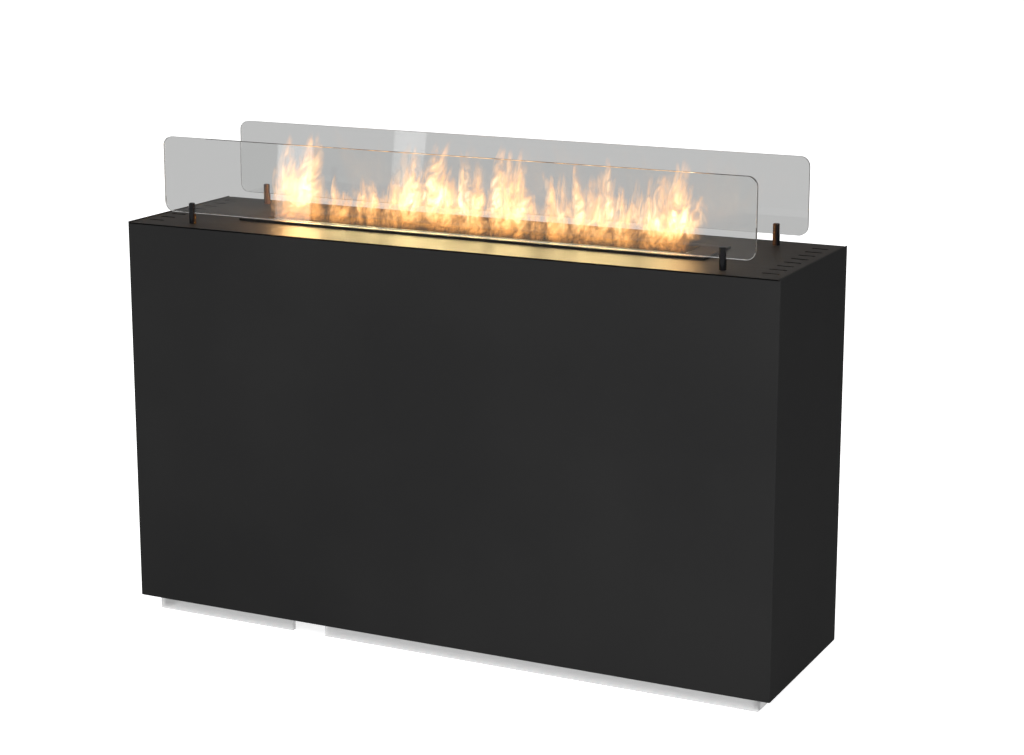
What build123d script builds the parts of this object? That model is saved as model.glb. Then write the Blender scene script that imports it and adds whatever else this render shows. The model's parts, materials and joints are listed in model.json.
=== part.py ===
from build123d import *
import os
from math import sqrt

# A free-standing bioethanol fireplace: a folded steel cabinet on a glass plinth, a long burner
# let into its top plate, and a low glass screen on slotted posts in front of and behind the fire.
# Millimetres. +X right, +Y to the back, +Z up. The origin is on the floor, under the middle.

os.makedirs("parts", exist_ok=True)

# ------------------------------------------------------------------ cabinet
body_width = 1100.0  # X
body_depth = 296.0  # Y
body_height = 625.0  # from the plinth to the top plate's surface
casing_sheet = 1.5
corner_radius = 2.5  # outside radius of the casing's two upright folds
bottom_radius = 2.0  # outside radius of the fold into the bottom flanges
rear_recess = 6.0  # the rear panel lies this far inside the cabinet's rear edge
angle_leg = 20.0  # legs of the inner angle bars
bar_gap = 2.0  # between the ends of inner bars and their neighbours
fold_radius = 3.0  # outside radius of folds in the inner sheet parts

# ------------------------------------------------------------------ plinth
plinth_height = 25.0
plinth_inset_side = 25.0
plinth_inset_front = 20.0
plinth_thickness = 10.0
plinth_bevel = 0.8  # ground edges of the glass strips
clear_centre = -240.0  # X of the pale section in the front strip
clear_width = 60.0
flange_gap = 2.0  # between the casing's bottom flange and the plinth

# ------------------------------------------------------------------ floor pan
pan_edge = 20.0
pan_fit = 0.5
intake_length = 60.0
intake_width = 6.0
intake_pitch = 18.0
intakes_per_end = 4
intake_end_distance = 110.0  # from the cabinet's end to the middle of the intake slots

# ------------------------------------------------------------------ top plate
top_sheet = 2.0
side_seam = 1.0  # between the top plate and each side wall
side_lip = 1.0  # the side walls stand this much above the top plate
top_flange = 14.0  # folded down at both ends
vent_length = 27.0
vent_width = 5.0
vent_pitch = 31.0
vents_per_end = 8
vent_end_distance = 29.0  # from the cabinet's end to the middle of the vents
vent_corner = 1.7  # cut across the vents' corners

# ------------------------------------------------------------------ glass screens and posts
glass_end_distance = 50.0  # from the cabinet's end to the screen's end
glass_face_distance = 36.0  # from the cabinet's front or back to the screen's mid plane
glass_height = 120.0
glass_thickness = 5.0
glass_radius = 15.0
glass_bevel = 0.6
glass_above_plate = 17.0
post_diameter = 11.0
post_height = 33.0
post_inset = 50.0  # from the screen's end to the middle of a post
post_bevel = 0.6
slot_clearance = 0.2  # each side of the glass
pad_thickness = 1.2
stud_diameter = 6.0
stud_length = 14.0  # below the top plate
stud_hole_clearance = 0.3  # radial
thread_clearance = 0.05  # radial, between a thread's outline and its nut or tapped sheet
nut_across_flats = 10.0
nut_height = 5.0

# ------------------------------------------------------------------ burner
mouth_length = 724.0  # X of the fire's opening
mouth_width = 60.0
rim_border_end = 38.0
rim_border_side = 26.0
rim_height = 4.0  # above the top plate
rim_sheet = 2.0
rim_radius = 3.0
rim_edge = 0.8
lip_below_plate = 10.0  # how far the mouth's lip hangs under the top plate's surface
tub_end_gap = 8.0  # between the mouth's lip and the tub's end wall
tub_side_gap = 6.0
tub_sheet = 2.0
tub_radius = 8.0
tub_depth = 92.0  # from the top plate's surface to the tub's underside
tub_flange = 9.0
cutout_clearance = 1.5
ledge_width = 6.0
ledge_height = 3.0
deck_sheet = 1.5
deck_drop = 16.0  # from the top plate's surface down to the deck
deck_fit = 0.5
slot_pitch = 40.0  # of the air and fuel slots in the deck
slot_width = 16.0
slot_length = 44.0
slot_margin = 18.0  # from the mouth's end to the slot pattern
regulator_sheet = 1.5
regulator_border = 5.0  # of sheet beside the slots
regulator_end = 22.0  # of sheet past the last slot
regulator_lift = 0.1  # running gap under the regulator
tab_width = 24.0
tab_height = 14.0
tab_hole = 8.0
guide_sheet = 1.2
guide_fit = 0.3  # sliding gap beside and above the regulator
guide_lip = 3.0
guide_foot = 6.0
fleece_height = 40.0
fleece_gap = 2.0  # around each block of ceramic fleece

# ------------------------------------------------------------------ under the burner
tray_air_gap = 16.0  # between the tub and the spill tray's floor
tray_sheet = 1.5
tray_edge = 12.0
tray_margin = 16.0  # the tray reaches this far past the tub on every side
shield_sheet = 1.0
shield_air_gap = 8.0  # between the spill tray and the shield's walls
shield_top_gap = 30.0  # between the shield's walls and the top plate's surface
member_count = 3
member_width = 40.0
member_height = 25.0
member_sheet = 2.0
member_pitch = 300.0
rail_leg = 25.0

# ------------------------------------------------------------------ screws
screw_diameter = 4.0
screw_head = 8.0
screw_head_height = 2.2
screw_length = 8.0
panel_screws_per_side = 2
screw_hole_clearance = 0.15  # radial

# ------------------------------------------------------------------ places worked out from these
half_width = body_width / 2
half_depth = body_depth / 2
inner_half_width = half_width - casing_sheet
front_wall = -half_depth + casing_sheet  # inner face of the front wall
rear_face = half_depth - rear_recess  # outer face of the rear panel
rear_wall = rear_face - casing_sheet  # inner face of the rear panel
top = plinth_height + body_height  # surface of the top plate
under_top = top - top_sheet
plate_half_width = inner_half_width - side_seam
flange_top = plinth_height + casing_sheet  # upper face of the casing's bottom flanges
pan_top = flange_top + pan_edge
glass_length = body_width - 2 * glass_end_distance
glass_y = half_depth - glass_face_distance
glass_bottom = top + glass_above_plate
slot_floor = glass_bottom - pad_thickness
post_x = glass_length / 2 - post_inset
mouth_x, mouth_y = mouth_length / 2, mouth_width / 2
rim_x, rim_y = mouth_x + rim_border_end, mouth_y + rim_border_side
lip_x, lip_y = mouth_x + rim_sheet, mouth_y + rim_sheet
tub_inner_x, tub_inner_y = lip_x + tub_end_gap, lip_y + tub_side_gap
tub_x, tub_y = tub_inner_x + tub_sheet, tub_inner_y + tub_sheet
tub_bottom = top - tub_depth
deck_top = top - deck_drop
deck_bottom = deck_top - deck_sheet
slot_count = int((mouth_length - 2 * slot_margin) / slot_pitch)
pattern_x = (slot_count - 1) * slot_pitch / 2 + slot_width / 2
regulator_x = pattern_x + regulator_end
regulator_y = slot_length / 2 + regulator_border
regulator_bottom = deck_top + regulator_lift
tray_x, tray_y = tub_x + tray_margin, tub_y + tray_margin
tray_floor = tub_bottom - tray_air_gap
shield_floor = tray_floor - tray_sheet  # upper face of the heat shield's floor
shield_y = tray_y + shield_air_gap + shield_sheet
member_bottom = shield_floor - shield_sheet - member_height
rear_bar_face = rear_wall - casing_sheet  # front face of the rear angle bars


def folded(points, sheet, plane, radius=fold_radius, side=Side.LEFT):
    """The section of a folded sheet whose outside face follows the points."""
    with BuildSketch(plane) as section:
        with BuildLine():
            outside = FilletPolyline(*points, radius=radius)
            offset(outside, amount=sheet, side=side)
        make_face()
    return section.sketch


def spread(count, length):
    """Places of count things along a length, each in the middle of its own share."""
    return [length * ((i + 0.5) / count - 0.5) for i in range(count)]


# ================================================================== cabinet
# The front and both sides are one sheet, folded at the two front corners and at the bottom.
with BuildPart() as casing:
    with BuildSketch(Plane.XY.offset(plinth_height)):
        with BuildLine():
            wrap = FilletPolyline(
                (-half_width, half_depth),
                (-half_width, -half_depth),
                (half_width, -half_depth),
                (half_width, half_depth),
                radius=corner_radius,
            )
            offset(wrap, amount=casing_sheet, side=Side.LEFT)
        make_face()
    extrude(amount=body_height + side_lip)
    with BuildSketch(Plane.XY.offset(under_top)):
        with Locations((0, front_wall)):
            Rectangle(2 * inner_half_width, 4 * casing_sheet)
    extrude(amount=top_sheet + side_lip, mode=Mode.SUBTRACT)
    flange_x = half_width - plinth_inset_side + flange_gap
    flange_y = half_depth - plinth_inset_front + flange_gap
    with BuildSketch(Plane.XY.offset(plinth_height)):
        with BuildLine():
            Polyline(
                (-inner_half_width, half_depth),
                (-inner_half_width, front_wall),
                (inner_half_width, front_wall),
                (inner_half_width, half_depth),
                (flange_x, half_depth),
                (flange_x, -flange_y),
                (-flange_x, -flange_y),
                (-flange_x, half_depth),
                close=True,
            )
        make_face()
    extrude(amount=casing_sheet)
    bottom = casing.faces().sort_by(Axis.Z)[0].outer_wire().edges()
    fillet(
        bottom.filter_by(lambda e: max(abs(e.center().X) - half_width, -e.center().Y - half_depth) > -1),
        radius=bottom_radius,
    )
casing.part.label = "casing"
export_step(casing.part, "parts/casing.step")

# Screws hold the rear panel to two upright angles, to the bar under the top plate and to the pan.
upright_bottom = pan_top + bar_gap
upright_top = under_top - max(top_flange, angle_leg) - bar_gap
upright_height = upright_top - upright_bottom
panel_screws_beside = [
    (s * (inner_half_width - angle_leg / 2), upright_bottom + upright_height / 2 + z)
    for s in (-1, 1)
    for z in spread(panel_screws_per_side, upright_height)
]
panel_screw_high = (0, under_top - angle_leg / 2)
panel_screw_low = (0, flange_top + pan_edge / 2)
panel_screws = [*panel_screws_beside, panel_screw_high, panel_screw_low]

# The shallow floor pan stiffens the bottom, and lets cool air in from the plinth.
with BuildPart() as floor_pan:
    with BuildSketch(Plane.XY.offset(flange_top)):
        with Locations((0, (front_wall + pan_fit + rear_wall) / 2)):
            Rectangle(2 * (inner_half_width - pan_fit), rear_wall - front_wall - pan_fit)
    extrude(amount=pan_edge)
    fillet(floor_pan.edges().group_by(Axis.Z)[0], radius=bottom_radius)
    offset(amount=-casing_sheet, openings=floor_pan.faces().sort_by(Axis.Z)[-1])
    with BuildSketch(Plane.XY.offset(flange_top)):
        with Locations(*[(s * (half_width - intake_end_distance), 0) for s in (-1, 1)]):
            with GridLocations(0, intake_pitch, 1, intakes_per_end):
                Rectangle(intake_length, intake_width)
    extrude(amount=casing_sheet, mode=Mode.SUBTRACT)
    with BuildSketch(Plane.XZ.offset(-rear_wall)):
        with Locations(panel_screw_low):
            Circle(screw_diameter / 2 + thread_clearance)
    extrude(amount=casing_sheet, mode=Mode.SUBTRACT)
floor_pan.part.label = "floor_pan"
export_step(floor_pan.part, "parts/floor_pan.step")

# ------------------------------------------------------------------ plinth
# Strips of glass carry the floor pan inside the casing's bottom flanges.
plinth_x = half_width - plinth_inset_side
plinth_y = half_depth - plinth_inset_front
clear_left, clear_right = clear_centre - clear_width / 2, clear_centre + clear_width / 2


def glass_strip(x0, x1, y0, y1):
    """A plinth strip with ground upright edges."""
    with BuildPart() as strip:
        with BuildSketch():
            with Locations(((x0 + x1) / 2, (y0 + y1) / 2)):
                Rectangle(x1 - x0, y1 - y0)
        extrude(amount=flange_top)
        chamfer(strip.edges().filter_by(Axis.Z), length=plinth_bevel)
    return strip.part


plinth_front_left = glass_strip(-plinth_x, clear_left, -plinth_y, -plinth_y + plinth_thickness)
plinth_front_left.label = "plinth_front_left"
export_step(plinth_front_left, "parts/plinth_front_left.step")

plinth_front_right = glass_strip(clear_right, plinth_x, -plinth_y, -plinth_y + plinth_thickness)
plinth_front_right.label = "plinth_front_right"
export_step(plinth_front_right, "parts/plinth_front_right.step")

plinth_clear_section = glass_strip(clear_left, clear_right, -plinth_y, -plinth_y + plinth_thickness)
plinth_clear_section.label = "plinth_clear_section"
export_step(plinth_clear_section, "parts/plinth_clear_section.step")

plinth_rear = glass_strip(-plinth_x, plinth_x, plinth_y - plinth_thickness, plinth_y)
plinth_rear.label = "plinth_rear"
export_step(plinth_rear, "parts/plinth_rear.step")

plinth_side_y = plinth_y - plinth_thickness
plinth_left = glass_strip(-plinth_x, -plinth_x + plinth_thickness, -plinth_side_y, plinth_side_y)
plinth_left.label = "plinth_left"
export_step(plinth_left, "parts/plinth_left.step")

plinth_right = glass_strip(plinth_x - plinth_thickness, plinth_x, -plinth_side_y, plinth_side_y)
plinth_right.label = "plinth_right"
export_step(plinth_right, "parts/plinth_right.step")

# ------------------------------------------------------------------ rear panel and its bars

with BuildPart() as rear_panel:
    with BuildSketch(Plane.XZ.offset(-rear_wall)):
        with Locations((0, (flange_top + under_top) / 2)):
            Rectangle(2 * (inner_half_width - pan_fit), under_top - flange_top)
        with Locations(*panel_screws):
            Circle(screw_diameter / 2 + screw_hole_clearance, mode=Mode.SUBTRACT)
    extrude(amount=-casing_sheet)
rear_panel.part.label = "rear_panel"
export_step(rear_panel.part, "parts/rear_panel.step")

with BuildPart() as rear_panel_screws:
    with BuildSketch(Plane.XZ.offset(-rear_face)):
        with Locations(*panel_screws):
            Circle(screw_head / 2)
    extrude(amount=-screw_head_height)
    with BuildSketch(Plane.XZ.offset(-rear_face)):
        with Locations(*panel_screws):
            Circle(screw_diameter / 2)
    extrude(amount=screw_length)
rear_panel_screws.part.label = "rear_panel_screws"
export_step(rear_panel_screws.part, "parts/rear_panel_screws.step")

for side, name in ((-1, "left"), (1, "right")):
    with BuildPart() as rear_angle:
        with BuildSketch(Plane.XY.offset(upright_bottom)):
            corner = (side * inner_half_width, rear_wall)
            with Locations(corner):
                Rectangle(angle_leg, angle_leg, align=(Align.MAX if side > 0 else Align.MIN, Align.MAX))
            with Locations((corner[0] - side * casing_sheet, corner[1] - casing_sheet)):
                Rectangle(
                    angle_leg,
                    angle_leg,
                    align=(Align.MAX if side > 0 else Align.MIN, Align.MAX),
                    mode=Mode.SUBTRACT,
                )
        extrude(amount=upright_height)
        outer_corner = rear_angle.edges().filter_by(Axis.Z).sort_by_distance((*corner, upright_bottom))[0]
        fillet(outer_corner, radius=casing_sheet)
        with BuildSketch(Plane.XZ.offset(-rear_wall)):
            with Locations(*[place for place in panel_screws_beside if place[0] * side > 0]):
                Circle(screw_diameter / 2 + thread_clearance)
        extrude(amount=casing_sheet, mode=Mode.SUBTRACT)
    rear_angle.part.label = f"{name}_rear_angle"
    export_step(rear_angle.part, f"parts/{name}_rear_angle.step")

# ------------------------------------------------------------------ bars under the top plate
bar_x = plate_half_width - top_sheet - bar_gap

with BuildPart() as front_top_angle:
    bar = folded(
        [(front_wall, under_top - angle_leg), (front_wall, under_top), (front_wall + angle_leg, under_top)],
        casing_sheet,
        Plane.YZ,
        side=Side.RIGHT,
    )
    extrude(bar, amount=bar_x, both=True)
front_top_angle.part.label = "front_top_angle"
export_step(front_top_angle.part, "parts/front_top_angle.step")

with BuildPart() as rear_top_angle:
    bar = folded(
        [(rear_wall, under_top - angle_leg), (rear_wall, under_top), (rear_wall - angle_leg, under_top)],
        casing_sheet,
        Plane.YZ,
    )
    extrude(bar, amount=bar_x, both=True)
    with BuildSketch(Plane.XZ.offset(-rear_wall)):
        with Locations(panel_screw_high):
            Circle(screw_diameter / 2 + thread_clearance)
    extrude(amount=casing_sheet, mode=Mode.SUBTRACT)
rear_top_angle.part.label = "rear_top_angle"
export_step(rear_top_angle.part, "parts/rear_top_angle.step")

# ------------------------------------------------------------------ top plate
# It drops between the side walls, and lies on the front wall's edge and the two top angles.
with BuildPart() as top_plate:
    plate = folded(
        [
            (-plate_half_width, top - top_flange),
            (-plate_half_width, top),
            (plate_half_width, top),
            (plate_half_width, top - top_flange),
        ],
        top_sheet,
        Plane.XZ,
        side=Side.RIGHT,
    )
    extrude(plate, amount=half_depth, both=True)
    # The end flanges stop short of the front wall and of the rear angles.
    with BuildSketch(Plane.XY.offset(under_top)):
        for y0, y1 in ((-half_depth, front_wall + bar_gap), (rear_wall - angle_leg - bar_gap, half_depth)):
            with Locations((0, (y0 + y1) / 2)):
                Rectangle(body_width, y1 - y0)
    extrude(amount=-top_flange, mode=Mode.SUBTRACT)
    with BuildSketch(Plane.XY.offset(under_top)):
        RectangleRounded(2 * (tub_x + cutout_clearance), 2 * (tub_y + cutout_clearance), tub_radius)
        with GridLocations(2 * post_x, 2 * glass_y, 2, 2):
            Circle(stud_diameter / 2 + stud_hole_clearance)
    extrude(amount=top_sheet, mode=Mode.SUBTRACT)
    with BuildSketch(Plane.XY.offset(under_top)) as vents:
        with GridLocations(2 * (half_width - vent_end_distance), vent_pitch, 2, vents_per_end):
            Rectangle(vent_length, vent_width)
        chamfer(vents.vertices(), length=vent_corner)
    extrude(amount=top_sheet, mode=Mode.SUBTRACT)
top_plate.part.label = "top_plate"
export_step(top_plate.part, "parts/top_plate.step")

# ------------------------------------------------------------------ glass screens on their posts
for place, y in (("front", -glass_y), ("rear", glass_y)):
    with BuildPart() as glass:
        with BuildSketch(Plane.XZ.offset(-y - glass_thickness / 2)):
            with Locations((0, glass_bottom + glass_height / 2)):
                RectangleRounded(glass_length, glass_height, glass_radius)
        extrude(amount=glass_thickness)
        chamfer(glass.faces().filter_by(Axis.Y).edges(), length=glass_bevel)
    glass.part.label = f"{place}_glass"
    export_step(glass.part, f"parts/{place}_glass.step")
    for side, name in ((-1, "left"), (1, "right")):
        x = side * post_x
        with BuildPart() as post:
            with BuildSketch(Plane.XY.offset(top)):
                with Locations((x, y)):
                    Circle(post_diameter / 2)
            extrude(amount=post_height)
            chamfer(post.edges().group_by(Axis.Z)[-1], length=post_bevel)
            with BuildSketch(Plane.XY.offset(slot_floor)):
                with Locations((x, y)):
                    Rectangle(post_diameter, glass_thickness + 2 * slot_clearance)
            extrude(amount=post_height, mode=Mode.SUBTRACT)
            with BuildSketch(Plane.XY.offset(top)):
                with Locations((x, y)):
                    Circle(stud_diameter / 2)
            extrude(amount=-stud_length)
        post.part.label = f"{place}_{name}_post"
        export_step(post.part, f"parts/{place}_{name}_post.step")

pad_length = 2 * sqrt((post_diameter / 2) ** 2 - (glass_thickness / 2) ** 2)
with BuildPart() as glass_pads:
    with BuildSketch(Plane.XY.offset(slot_floor)):
        with GridLocations(2 * post_x, 2 * glass_y, 2, 2):
            Rectangle(pad_length, glass_thickness)
    extrude(amount=pad_thickness)
glass_pads.part.label = "glass_pads"
export_step(glass_pads.part, "parts/glass_pads.step")

with BuildPart() as post_nuts:
    with BuildSketch(Plane.XY.offset(under_top)):
        with GridLocations(2 * post_x, 2 * glass_y, 2, 2):
            RegularPolygon(nut_across_flats / 2, 6, major_radius=False)
            Circle(stud_diameter / 2 + thread_clearance, mode=Mode.SUBTRACT)
    extrude(amount=-nut_height)
post_nuts.part.label = "post_nuts"
export_step(post_nuts.part, "parts/post_nuts.step")

# ================================================================== burner
# The rim covers the cut-out: a low upturned frame, with a lip hanging into the tub all round.
with BuildPart() as burner_rim:
    with BuildSketch(Plane.XY.offset(top)):
        RectangleRounded(2 * rim_x, 2 * rim_y, rim_radius)
    extrude(amount=rim_height)
    chamfer(burner_rim.edges().group_by(Axis.Z)[-1], length=rim_edge)
    with BuildSketch(Plane.XY.offset(top)):
        RectangleRounded(2 * (rim_x - rim_sheet), 2 * (rim_y - rim_sheet), rim_radius)
    extrude(amount=rim_height - rim_sheet, mode=Mode.SUBTRACT)
    with BuildSketch(Plane.XY.offset(top - lip_below_plate)):
        RectangleRounded(2 * lip_x, 2 * lip_y, rim_radius)
    extrude(amount=lip_below_plate + rim_height - rim_sheet)
    with BuildSketch(Plane.XY.offset(top - lip_below_plate)):
        RectangleRounded(mouth_length, mouth_width, rim_radius)
    extrude(amount=lip_below_plate + rim_height, mode=Mode.SUBTRACT)
    mouth_edge = burner_rim.faces().sort_by(Axis.Z)[-1].inner_wires()[0].edges()
    chamfer(mouth_edge, length=rim_edge)
burner_rim.part.label = "burner_rim"
export_step(burner_rim.part, "parts/burner_rim.step")

# The tub holds the fuel. Its flange hangs on the top plate, and ledges inside carry the deck.
with BuildPart() as fuel_tub:
    with BuildSketch(Plane.XY.offset(tub_bottom)):
        RectangleRounded(2 * tub_x, 2 * tub_y, tub_radius)
    extrude(amount=tub_depth)
    chamfer(fuel_tub.edges().group_by(Axis.Z)[0], length=tub_sheet)
    with BuildSketch(Plane.XY.offset(top)):
        RectangleRounded(2 * (tub_x + tub_flange), 2 * (tub_y + tub_flange), tub_radius + tub_flange)
    extrude(amount=tub_sheet)
    with BuildSketch(Plane.XY.offset(tub_bottom + tub_sheet)):
        RectangleRounded(2 * tub_inner_x, 2 * tub_inner_y, tub_radius - tub_sheet)
    extrude(amount=tub_depth, mode=Mode.SUBTRACT)
    with BuildSketch(Plane.XY.offset(deck_bottom - ledge_height)):
        with GridLocations(0, 2 * tub_inner_y - ledge_width, 1, 2):
            Rectangle(2 * (tub_inner_x - tub_radius), ledge_width)
    extrude(amount=ledge_height)
fuel_tub.part.label = "fuel_tub"
export_step(fuel_tub.part, "parts/fuel_tub.step")

# ------------------------------------------------------------------ flame regulator
# A slotted plate slides on a slotted deck. Half a pitch of travel brings the bars of one over
# the slots of the other, which starves the fire and shuts the tub.
regulator_travel = slot_pitch / 2
guide_y = regulator_y + guide_fit  # inner face of the guide's web
guide_height = regulator_lift + regulator_sheet + guide_fit + guide_sheet

with BuildPart() as slotted_deck:
    with BuildSketch(Plane.XY.offset(deck_bottom)):
        RectangleRounded(2 * (tub_inner_x - deck_fit), 2 * (tub_inner_y - deck_fit), tub_radius - tub_sheet)
        with GridLocations(slot_pitch, 0, slot_count, 1):
            Rectangle(slot_width, slot_length, mode=Mode.SUBTRACT)
    extrude(amount=deck_sheet)
slotted_deck.part.label = "slotted_deck"
export_step(slotted_deck.part, "parts/slotted_deck.step")

with BuildPart() as flame_regulator:
    with BuildSketch(Plane.XY.offset(regulator_bottom)):
        Rectangle(2 * regulator_x, 2 * regulator_y)
    extrude(amount=regulator_sheet)
    # The pull tab is folded up from the right end, with a hole for the hook that moves it.
    tab = folded(
        [
            (regulator_x - regulator_end / 2, regulator_bottom),
            (regulator_x, regulator_bottom),
            (regulator_x, regulator_bottom + tab_height),
        ],
        regulator_sheet,
        Plane.XZ,
    )
    extrude(tab, amount=tab_width / 2, both=True)
    with BuildSketch(Plane.YZ.offset(regulator_x)):
        with Locations((0, regulator_bottom + tab_height / 2 + regulator_sheet / 2)):
            Circle(tab_hole / 2)
    extrude(amount=-regulator_sheet, mode=Mode.SUBTRACT)
    with BuildSketch(Plane.XY.offset(regulator_bottom)):
        with GridLocations(slot_pitch, 0, slot_count, 1):
            Rectangle(slot_width, slot_length)
    extrude(amount=regulator_sheet, mode=Mode.SUBTRACT)
flame_regulator.part.label = "flame_regulator"
export_step(flame_regulator.part, "parts/flame_regulator.step")

with BuildPart() as regulator_guides:
    with BuildSketch(Plane.YZ):
        with BuildLine():
            Polyline(
                (guide_y - guide_lip, deck_top + guide_height),
                (guide_y + guide_sheet, deck_top + guide_height),
                (guide_y + guide_sheet, deck_top + guide_sheet),
                (guide_y + guide_sheet + guide_foot, deck_top + guide_sheet),
                (guide_y + guide_sheet + guide_foot, deck_top),
                (guide_y, deck_top),
                (guide_y, deck_top + guide_height - guide_sheet),
                (guide_y - guide_lip, deck_top + guide_height - guide_sheet),
                close=True,
            )
        make_face()
        mirror(about=Plane.YZ)
    extrude(amount=regulator_x, both=True)
regulator_guides.part.label = "regulator_guides"
export_step(regulator_guides.part, "parts/regulator_guides.step")

# Blocks of ceramic fleece soak up the fuel, so that none can spill or slop.
fleece_names = ("left", "middle", "right")
fleece_length = 2 * tub_inner_x / len(fleece_names) - 2 * fleece_gap
for name, x in zip(fleece_names, spread(len(fleece_names), 2 * tub_inner_x)):
    with BuildPart() as fleece:
        with BuildSketch(Plane.XY.offset(tub_bottom + tub_sheet)):
            with Locations((x, 0)):
                RectangleRounded(fleece_length, 2 * (tub_inner_y - fleece_gap), tub_radius - tub_sheet)
        extrude(amount=fleece_height)
    fleece.part.label = f"fleece_{name}"
    export_step(fleece.part, f"parts/fleece_{name}.step")

# ================================================================== under the burner
with BuildPart() as spill_tray:
    with BuildSketch(Plane.XY.offset(shield_floor)):
        Rectangle(2 * tray_x, 2 * tray_y)
    extrude(amount=tray_edge)
    fillet(spill_tray.edges().group_by(Axis.Z)[0], radius=fold_radius)
    offset(amount=-tray_sheet, openings=spill_tray.faces().sort_by(Axis.Z)[-1])
spill_tray.part.label = "spill_tray"
export_step(spill_tray.part, "parts/spill_tray.step")

with BuildPart() as heat_shield:
    trough = folded(
        [
            (-shield_y, top - shield_top_gap),
            (-shield_y, shield_floor - shield_sheet),
            (shield_y, shield_floor - shield_sheet),
            (shield_y, top - shield_top_gap),
        ],
        shield_sheet,
        Plane.YZ,
    )
    extrude(trough, amount=tray_x + shield_air_gap, both=True)
heat_shield.part.label = "heat_shield"
export_step(heat_shield.part, "parts/heat_shield.step")

# Three cross members hang on a front and a rear rail, and carry the shield and the tray.
rail_x = inner_half_width - casing_sheet - bar_gap
front_rail_end = front_wall + rail_leg
rear_rail_end = rear_bar_face - rail_leg

with BuildPart() as front_rail:
    bar = folded(
        [
            (front_wall, member_bottom - rail_leg),
            (front_wall, member_bottom),
            (front_rail_end, member_bottom),
        ],
        member_sheet,
        Plane.YZ,
        side=Side.RIGHT,
    )
    extrude(bar, amount=rail_x, both=True)
front_rail.part.label = "front_rail"
export_step(front_rail.part, "parts/front_rail.step")

with BuildPart() as rear_rail:
    bar = folded(
        [
            (rear_bar_face, member_bottom - rail_leg),
            (rear_bar_face, member_bottom),
            (rear_rail_end, member_bottom),
        ],
        member_sheet,
        Plane.YZ,
    )
    extrude(bar, amount=rail_x, both=True)
rear_rail.part.label = "rear_rail"
export_step(rear_rail.part, "parts/rear_rail.step")

member_front, member_rear = front_wall + bar_gap, rear_bar_face - bar_gap
for i, x in enumerate(spread(member_count, member_count * member_pitch)):
    with BuildPart() as cross_member:
        channel = folded(
            [
                (x - member_width / 2, member_bottom + member_height),
                (x - member_width / 2, member_bottom),
                (x + member_width / 2, member_bottom),
                (x + member_width / 2, member_bottom + member_height),
            ],
            member_sheet,
            Plane.XZ.offset(-(member_front + member_rear) / 2),
        )
        extrude(channel, amount=(member_rear - member_front) / 2, both=True)
    cross_member.part.label = f"cross_member_{i + 1}"
    export_step(cross_member.part, f"parts/cross_member_{i + 1}.step")

print("regulator travel", regulator_travel)
print("top plate surface", top, "glass top", glass_bottom + glass_height)
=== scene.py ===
# %% [markdown]
# # A bioethanol fireplace, dressed for its picture
#
# The solids come from the CAD model and stay as they are. What this lesson adds is what a solid
# can't have: paint, glass, brushed and galvanised steel, the fire, the drive recesses of the
# screws, and a studio to see it all in. All lengths are in metres, and the object stands on
# z = 0 with its front towards -Y.

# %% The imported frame
import json
import math
import random

import bmesh
import bpy
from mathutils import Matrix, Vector


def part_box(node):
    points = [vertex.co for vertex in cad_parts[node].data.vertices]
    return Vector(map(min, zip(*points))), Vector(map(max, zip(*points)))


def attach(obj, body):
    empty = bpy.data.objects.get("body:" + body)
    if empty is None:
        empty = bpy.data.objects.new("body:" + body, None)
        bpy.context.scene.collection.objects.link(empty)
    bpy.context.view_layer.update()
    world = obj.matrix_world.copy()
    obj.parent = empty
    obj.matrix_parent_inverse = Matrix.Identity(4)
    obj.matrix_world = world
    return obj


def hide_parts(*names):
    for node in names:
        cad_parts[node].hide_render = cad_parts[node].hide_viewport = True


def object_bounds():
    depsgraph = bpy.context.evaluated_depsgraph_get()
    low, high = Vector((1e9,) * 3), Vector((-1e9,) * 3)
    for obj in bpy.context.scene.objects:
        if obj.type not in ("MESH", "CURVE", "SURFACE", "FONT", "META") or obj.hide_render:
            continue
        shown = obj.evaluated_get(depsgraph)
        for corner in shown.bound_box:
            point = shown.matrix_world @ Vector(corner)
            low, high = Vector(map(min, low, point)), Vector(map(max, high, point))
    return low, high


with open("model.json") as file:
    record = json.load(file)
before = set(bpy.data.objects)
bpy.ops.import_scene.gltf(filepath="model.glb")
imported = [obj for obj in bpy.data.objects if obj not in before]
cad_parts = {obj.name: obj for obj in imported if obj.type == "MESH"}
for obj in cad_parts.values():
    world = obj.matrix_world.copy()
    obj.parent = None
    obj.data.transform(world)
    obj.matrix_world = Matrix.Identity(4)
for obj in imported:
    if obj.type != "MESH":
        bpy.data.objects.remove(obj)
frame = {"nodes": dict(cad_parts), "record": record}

cad_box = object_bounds()
nodes = frame["nodes"]
scene = bpy.context.scene
size = cad_box[1] - cad_box[0]
print(f"{len(nodes)} nodes, {size.x:.3f} x {size.y:.3f} x {size.z:.3f} m")

# %% [markdown]
# ## The camera
#
# The photograph looks at the fireplace from its right, from a little above, through a long
# lens. The camera's place, turn, tilt and lens were worked out from the corners of the cabinet
# and of the glass. The small shift moves the picture without tilting the camera any further,
# which keeps the upright edges nearly parallel, as they are in the photograph.

# %% Camera
camera_place = (1.5803, -3.0944, 1.2544)
camera_turn, camera_tilt = math.radians(26.146), math.radians(12.458)
camera_data = bpy.data.cameras.new("camera")
camera_data.lens = 79.88
camera_data.shift_y = -0.04
camera = bpy.data.objects.new("camera", camera_data)
camera.location = camera_place
camera.rotation_euler = (math.pi / 2 - camera_tilt, 0.0, camera_turn)
scene.collection.objects.link(camera)
scene.camera = camera
scene.view_settings.view_transform = "Standard"
print("camera", [round(value, 3) for value in camera.location])

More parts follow.
